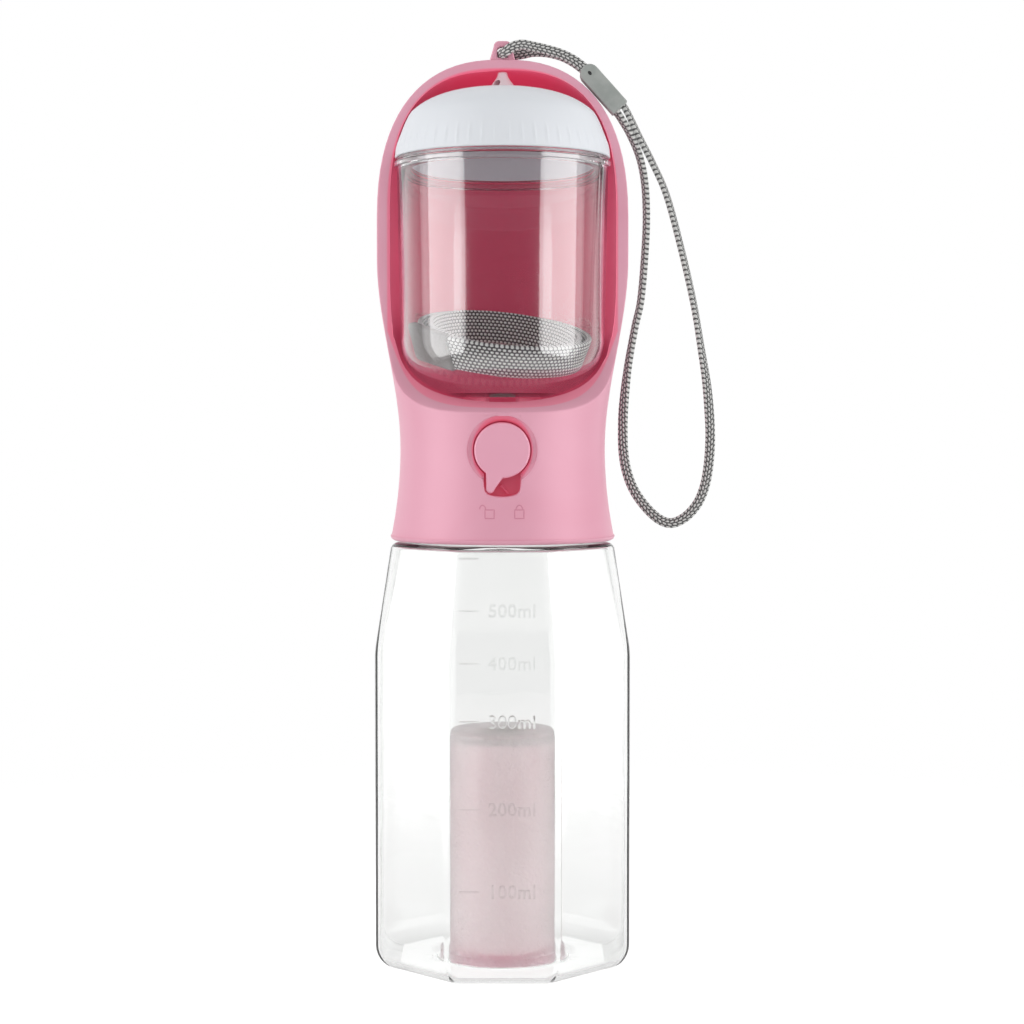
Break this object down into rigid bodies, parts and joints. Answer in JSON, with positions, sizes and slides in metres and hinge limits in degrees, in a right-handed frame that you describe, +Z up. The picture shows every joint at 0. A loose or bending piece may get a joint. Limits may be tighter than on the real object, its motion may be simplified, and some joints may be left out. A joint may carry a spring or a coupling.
{
  "type": "dog travel water bottle",
  "caption": "Clear octagonal water bottle with a screw-on pink drinking scoop, push-button valve, stored clear food cup, bag roll in the foot and wrist lanyard.",
  "frame": {"origin": "middle of the bottle's foot, on the surface it stands on", "axes": "+Z up along the bottle, -Y towards the open front of the scoop, +X to the right as seen from the front"},
  "size_m": [0.1152, 0.0856, 0.3138],
  "materials": {
    "bottle_clear": "clear, blown, glossy",
    "chamber_clear": "frosted, moulded",
    "cup_clear": "clear, moulded, glossy",
    "housing_pink": "satin moulded pink",
    "button_pink": "satin moulded pink",
    "bag_cap_pink": "satin moulded pink",
    "bag_film": "thin rolled film, soft sheen",
    "core_board": "plain board",
    "inner_white": "moulded white",
    "lid_white": "fine matte, cool white",
    "gasket_white": "soft, matte",
    "gasket_clear": "soft, translucent",
    "rubber_dark": "soft, matte",
    "rubber_grey": "soft, matte grey",
    "webbing_grey": "flat woven webbing, grey and white",
    "cord_grey": "flat braid, grey and white",
    "steel": "plain steel"
  },
  "bodies": {
    "bottle": {"bottle": "bottle_clear", "bag_chamber": "chamber_clear"},
    "neck_seal": {"neck_gasket": "gasket_white"},
    "housing": {"housing": "housing_pink", "thread_collar": "inner_white", "valve_body": "inner_white", "valve_end_cap": "inner_white", "valve_screws": "steel", "outlet_nozzle": "gasket_white", "stem_o_ring": "rubber_dark", "button_spring": "steel", "lanyard_loop": "cord_grey", "lanyard_hitch": "cord_grey", "lanyard_sleeve": "rubber_grey"},
    "stem": {"button_stem": "inner_white", "spring_washer": "steel", "valve_seal": "rubber_dark", "seal_clip": "steel"},
    "button": {"button": "button_pink"},
    "cup": {"cup": "cup_clear", "cup_strap": "webbing_grey", "strap_tip": "rubber_grey"},
    "lid": {"cup_lid": "lid_white", "lid_gasket": "gasket_clear"},
    "bag_cap": {"bag_cap": "bag_cap_pink"},
    "bag_roll": {"bag_roll": "bag_film", "roll_core": "core_board"}
  },
  "joints": [
    {"name": "housing_rise", "type": "slide", "parent": "bottle", "child": "neck_seal", "axis": [0, 0, 1], "range_m": [0, 0.00801]},
    {"name": "housing_turn", "type": "hinge", "parent": "neck_seal", "child": "housing", "pos_m": [0, 0, 0.154], "axis": [0, 0, 1], "range_deg": [0, 720]},
    {"name": "button_press", "type": "slide", "parent": "housing", "child": "stem", "axis": [0, 1, 0], "range_m": [0, 0.004], "stiffness_N_per_m": 450, "springref_m": -0.006, "deforming": ["button_spring"]},
    {"name": "lock_turn", "type": "hinge", "parent": "stem", "child": "button", "pos_m": [0, -0.034, 0.1754], "axis": [0, -1, 0], "range_deg": [0, 34.8]},
    {"name": "cup_pull_out", "type": "slide", "parent": "housing", "child": "cup", "axis": [0, -1, 0], "range_m": [0, 0.09]},
    {"name": "lid_twist", "type": "hinge", "parent": "cup", "child": "lid", "pos_m": [0, 0, 0.274], "axis": [0, 0, 1], "range_deg": [0, 60]},
    {"name": "bag_cap_twist", "type": "hinge", "parent": "bottle", "child": "bag_cap", "pos_m": [0, 0, 0.002], "axis": [0, 0, 1], "range_deg": [0, 90]},
    {"name": "roll_spin", "type": "hinge", "parent": "bag_cap", "child": "bag_roll", "pos_m": [0, 0, 0.04], "axis": [0, 0, 1], "continuous": true}
  ],
  "couplings": [
    {"joint": "housing_rise", "follows": "housing_turn", "m_per_rad": 0.00063662}
  ]
}
